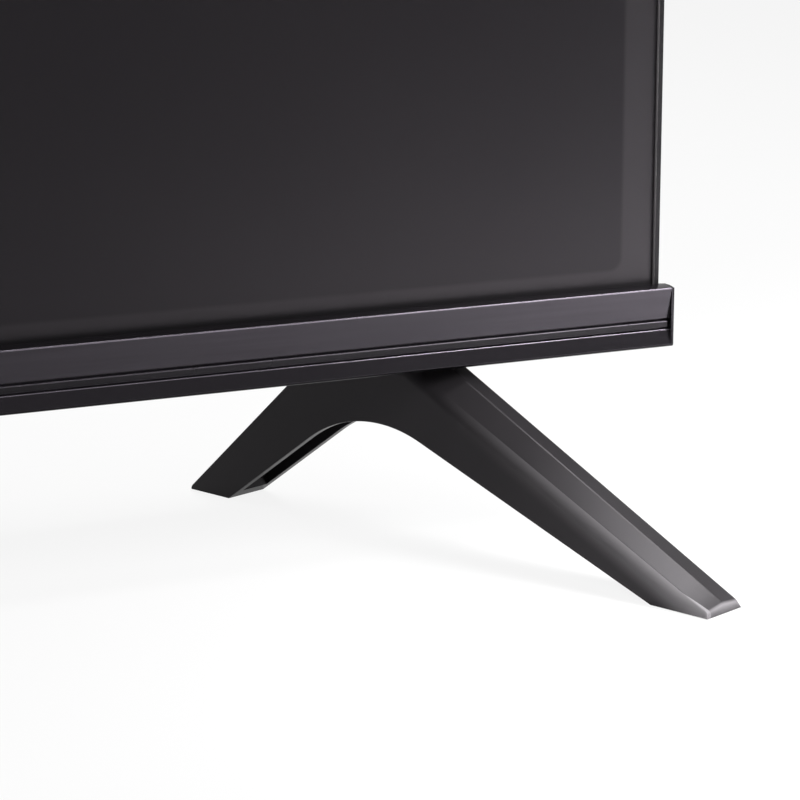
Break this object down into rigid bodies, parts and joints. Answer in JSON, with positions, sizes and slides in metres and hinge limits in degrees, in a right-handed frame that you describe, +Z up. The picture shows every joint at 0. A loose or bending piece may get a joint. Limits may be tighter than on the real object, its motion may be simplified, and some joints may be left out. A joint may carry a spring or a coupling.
{
  "type": "flat screen television",
  "caption": "Flat liquid-crystal television with a slim frame and a recessed chin bar, standing on splayed arched feet, with its backlight, boards, speakers, sockets and power button",
  "frame": {"origin": "on the floor under the centre of the outer box of the set and its feet", "axes": "+X along the screen to the viewer's right, +Y from the viewer to the back, +Z up"},
  "size_m": [0.9706, 0.1954, 0.618],
  "materials": {
    "frame_black": "fine satin black",
    "chin_satin": "satin charcoal with a faint brushed grain",
    "strip_satin": "satin charcoal",
    "screen_glass": "anti-glare satin glass, dark when off",
    "inner_plastic": "moulded black",
    "film_white": "translucent white film",
    "diffuser_white": "milky white plate",
    "tray_steel": "zinc-coated sheet",
    "reflector_white": "matt white",
    "light_board": "white solder mask on aluminium",
    "lens_clear": "clear moulded lens",
    "circuit_green": "solder mask",
    "circuit_tan": "bare laminate",
    "flex_amber": "polyimide flex",
    "cover_black": "textured moulded black",
    "screw_black": "blackened steel",
    "screw_zinc": "zinc plated",
    "post_steel": "zinc plated",
    "chip_black": "moulded epoxy",
    "sink_aluminium": "extruded, bare",
    "socket_steel": "nickel plated shell",
    "aerial_chrome": "plated",
    "socket_plastic": "moulded black",
    "transformer_dark": "ferrite and tape",
    "capacitor_sleeve": "dark sleeve",
    "pin_brass": "plated pin",
    "speaker_plastic": "moulded black",
    "cone_paper": "pressed paper",
    "magnet_steel": "ferrite and plated steel",
    "pod_plastic": "satin black",
    "window_dark": "infrared window",
    "plunger_white": "moulded",
    "button_black": "satin black",
    "foot_satin": "fine satin black",
    "pad_rubber": "soft black rubber",
    "bracket_steel": "zinc-coated sheet",
    "ribbon_white": "flat flexible cable",
    "lead_grey": "bundled wires",
    "lead_black": "sleeved wires"
  },
  "bodies": {
    "set": {"bezel_frame": "frame_black", "chin_bar": "chin_satin", "chin_accent_strip": "strip_satin", "lcd_cell": "screen_glass", "middle_frame": "inner_plastic", "prism_film": "film_white", "diffusion_film": "film_white", "diffuser_plate": "diffuser_white", "back_chassis": "tray_steel", "reflector_sheet": "reflector_white", "light_bars": "light_board", "light_lenses": "lens_clear", "source_boards": "circuit_green", "glass_flexes": "flex_amber", "rear_cover": "cover_black", "rear_cover_screws": "screw_black", "vesa_posts": "post_steel", "main_board": "circuit_green", "power_board": "circuit_tan", "board_standoffs": "post_steel", "board_screws": "screw_zinc", "processor_chips": "chip_black", "heat_sink": "sink_aluminium", "wireless_module": "circuit_green", "hdmi_sockets": "socket_steel", "usb_sockets": "socket_steel", "lan_socket": "socket_steel", "aerial_socket": "aerial_chrome", "audio_socket": "socket_plastic", "port_panel": "socket_plastic", "power_transformer": "transformer_dark", "power_capacitors": "capacitor_sleeve", "power_heat_sink": "sink_aluminium", "ac_inlet": "socket_plastic", "ac_inlet_pins": "pin_brass", "speaker_box_left": "speaker_plastic", "speaker_box_right": "speaker_plastic", "speaker_magnets": "magnet_steel", "sensor_pod": "pod_plastic", "sensor_window": "window_dark", "sensor_board": "circuit_green", "button_switch": "chip_black", "foot_left": "foot_satin", "foot_right": "foot_satin", "foot_pads": "pad_rubber", "foot_bracket_left": "bracket_steel", "foot_bracket_right": "bracket_steel", "bracket_screws": "screw_zinc", "foot_screws": "screw_black", "panel_ribbon": "ribbon_white", "power_harness": "lead_grey", "backlight_lead": "lead_grey", "button_lead": "lead_black", "speaker_leads": "lead_black"},
    "power_button": {"power_button": "button_black", "switch_plunger": "plunger_white"},
    "speaker_cone_left": {"speaker_cone_left": "cone_paper"},
    "speaker_cone_right": {"speaker_cone_right": "cone_paper"}
  },
  "joints": [
    {"name": "power_button_press", "type": "slide", "parent": "set", "child": "power_button", "axis": [0, 0, 1], "range_m": [0, 0.0005], "stiffness_N_per_m": 400},
    {"name": "speaker_cone_left_travel", "type": "slide", "parent": "set", "child": "speaker_cone_left", "axis": [0, 0, 1], "range_m": [-0.001, 0.001], "stiffness_N_per_m": 1500},
    {"name": "speaker_cone_right_travel", "type": "slide", "parent": "set", "child": "speaker_cone_right", "axis": [0, 0, 1], "range_m": [-0.001, 0.001], "stiffness_N_per_m": 1500}
  ]
}
